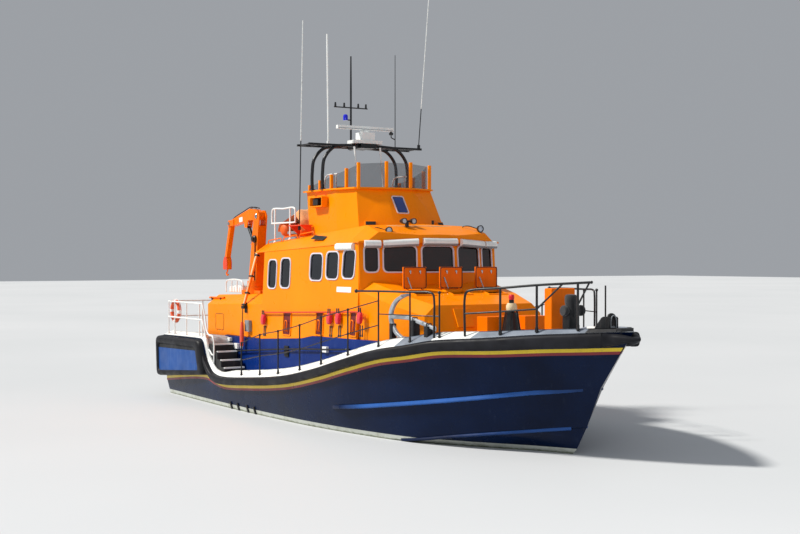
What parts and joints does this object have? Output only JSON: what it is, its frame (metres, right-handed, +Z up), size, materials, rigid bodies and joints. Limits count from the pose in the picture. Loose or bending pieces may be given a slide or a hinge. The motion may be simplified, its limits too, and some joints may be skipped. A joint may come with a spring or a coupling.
{
  "type": "all-weather lifeboat",
  "caption": "Lifeboat afloat: navy hull with fenders, orange deckhouse, flying bridge, mast arch, deck crane and rails; screws, rudders, hatches, doors, radar and crane move.",
  "frame": {"origin": "on the centreline at the waterline, amidships", "axes": "+X towards the bow, +Y to port, +Z up"},
  "size_m": [17.3, 5.89, 12.4311],
  "materials": {
    "hull_navy": "gloss",
    "house_orange": "gloss",
    "trunk_blue": "gloss",
    "gear_orange": "gloss",
    "gear_white": "gloss",
    "gear_black": "satin",
    "gear_grey": "satin",
    "deck_edge": "gloss",
    "fender": "matt",
    "window": "gloss",
    "smoked_screen": "gloss",
    "step_tread": "matt",
    "steel": "brushed",
    "bronze": "satin",
    "boat_cover": "woven",
    "aerial": "gloss",
    "ring_red": "satin"
  },
  "bodies": {
    "boat": {"hull": "hull_navy", "fender_belt_stb": "fender", "fender_belt_port": "fender", "fender_quarter_stb": "fender", "fender_quarter_port": "fender", "fender_bow": "fender", "fender_transom": "fender", "toe_rail": "deck_edge", "steps_stb": "step_tread", "steps_port": "step_tread", "trunk": "trunk_blue", "aft_casing": "house_orange", "coachroof": "house_orange", "wall_stb": "house_orange", "wall_port": "house_orange", "glass_stb": "window", "glass_port": "window", "wall_front": "house_orange", "glass_front": "window", "wall_aft": "house_orange", "roof": "house_orange", "flying_bridge": "house_orange", "screen": "smoked_screen", "mast_arch": "gear_black", "radar_base": "gear_white", "aerial_port": "aerial", "aerial_stb": "aerial", "aerial_white": "aerial", "crane_pedestal": "gear_orange", "crane_strut": "gear_orange", "dinghy": "boat_cover", "cradle": "gear_grey", "rail_stern": "gear_white", "rail_side_stb": "gear_black", "rail_side_port": "gear_black", "rail_bow": "gear_black", "roof_rail_stb": "gear_white", "roof_rail_port": "gear_white", "lockers": "gear_orange", "locker_bow": "gear_orange", "bitts": "gear_black", "windlass": "gear_black", "bow_fairlead": "gear_black", "anchor": "gear_grey", "life_ring": "ring_red"},
    "screw_stb": {"propeller_stb": "bronze"},
    "screw_port": {"propeller_port": "bronze"},
    "steering_stb": {"rudder_stb": "gear_black"},
    "steering_port": {"rudder_port": "gear_black"},
    "radar": {"radar_scanner": "gear_white"},
    "lid_stb": {"hatch_stb": "house_orange"},
    "lid_mid": {"hatch_mid": "house_orange"},
    "lid_port": {"hatch_port": "house_orange"},
    "fore_door": {"door_fore": "house_orange"},
    "aft_door": {"door_wheelhouse": "house_orange"},
    "crane": {"crane_post": "gear_orange"},
    "boom": {"crane_boom": "gear_orange"},
    "jib": {"crane_jib": "gear_orange"},
    "ram_barrel": {"crane_barrel": "gear_grey"},
    "ram_rod": {"crane_rod": "steel"}
  },
  "joints": [
    {"name": "screw_stb_turn", "type": "hinge", "parent": "boat", "child": "screw_stb", "pos_m": [-6.95, -1.25, -1.23], "axis": [1, 0, 0], "continuous": true},
    {"name": "screw_port_turn", "type": "hinge", "parent": "boat", "child": "screw_port", "pos_m": [-6.95, 1.25, -1.23], "axis": [1, 0, 0], "continuous": true},
    {"name": "rudder_stb_turn", "type": "hinge", "parent": "boat", "child": "steering_stb", "pos_m": [-7.8, -1.25, -1.1], "axis": [0, 0, 1], "range_deg": [-35, 35]},
    {"name": "rudder_port_turn", "type": "hinge", "parent": "boat", "child": "steering_port", "pos_m": [-7.8, 1.25, -1.1], "axis": [0, 0, 1], "range_deg": [-35, 35]},
    {"name": "radar_turn", "type": "hinge", "parent": "boat", "child": "radar", "pos_m": [-1.48, 0, 7.15], "axis": [0, 0, 1], "continuous": true},
    {"name": "lid_stb_swing", "type": "hinge", "parent": "boat", "child": "lid_stb", "pos_m": [2.42, -0.98, 3.2], "axis": [0, 1, 0], "range_deg": [0, 102.5]},
    {"name": "lid_mid_swing", "type": "hinge", "parent": "boat", "child": "lid_mid", "pos_m": [2.42, 0, 3.2], "axis": [0, 1, 0], "range_deg": [0, 102.5]},
    {"name": "lid_port_swing", "type": "hinge", "parent": "boat", "child": "lid_port", "pos_m": [2.42, 0.98, 3.2], "axis": [0, 1, 0], "range_deg": [0, 102.5]},
    {"name": "fore_door_swing", "type": "hinge", "parent": "boat", "child": "fore_door", "pos_m": [3.8886, -0.88, 2.6175], "axis": [0.4497, 0, -0.8932], "range_deg": [0, 110]},
    {"name": "aft_door_swing", "type": "hinge", "parent": "boat", "child": "aft_door", "pos_m": [-3.543, 0.885, 3.5], "axis": [0, 0, -1], "range_deg": [0, 110]},
    {"name": "crane_slew", "type": "hinge", "parent": "boat", "child": "crane", "pos_m": [-5.05, -1.35, 3.12], "axis": [0, 0, 1], "range_deg": [-95, 95]},
    {"name": "boom_luff", "type": "hinge", "parent": "crane", "child": "boom", "pos_m": [-4.8, -1.35, 5.04], "axis": [0, 1, 0], "range_deg": [0, 40]},
    {"name": "jib_fold", "type": "hinge", "parent": "boom", "child": "jib", "pos_m": [-6.64, -1.35, 4.88], "axis": [0, 1, 0], "range_deg": [-12, 66]},
    {"name": "ram_swing", "type": "hinge", "parent": "crane", "child": "ram_barrel", "pos_m": [-5.175, -1.35, 4.33], "axis": [0, 1, 0], "range_deg": [0, 20]},
    {"name": "ram_slide", "type": "slide", "parent": "ram_barrel", "child": "ram_rod", "axis": [-0.6337, 0, 0.7736], "range_m": [0, 0.475]}
  ],
  "couplings": [
    {"joint": "ram_swing", "follows": "boom_luff", "ratio": 0.49288},
    {"joint": "ram_slide", "follows": "boom_luff", "m_per_rad": 0.67261}
  ]
}
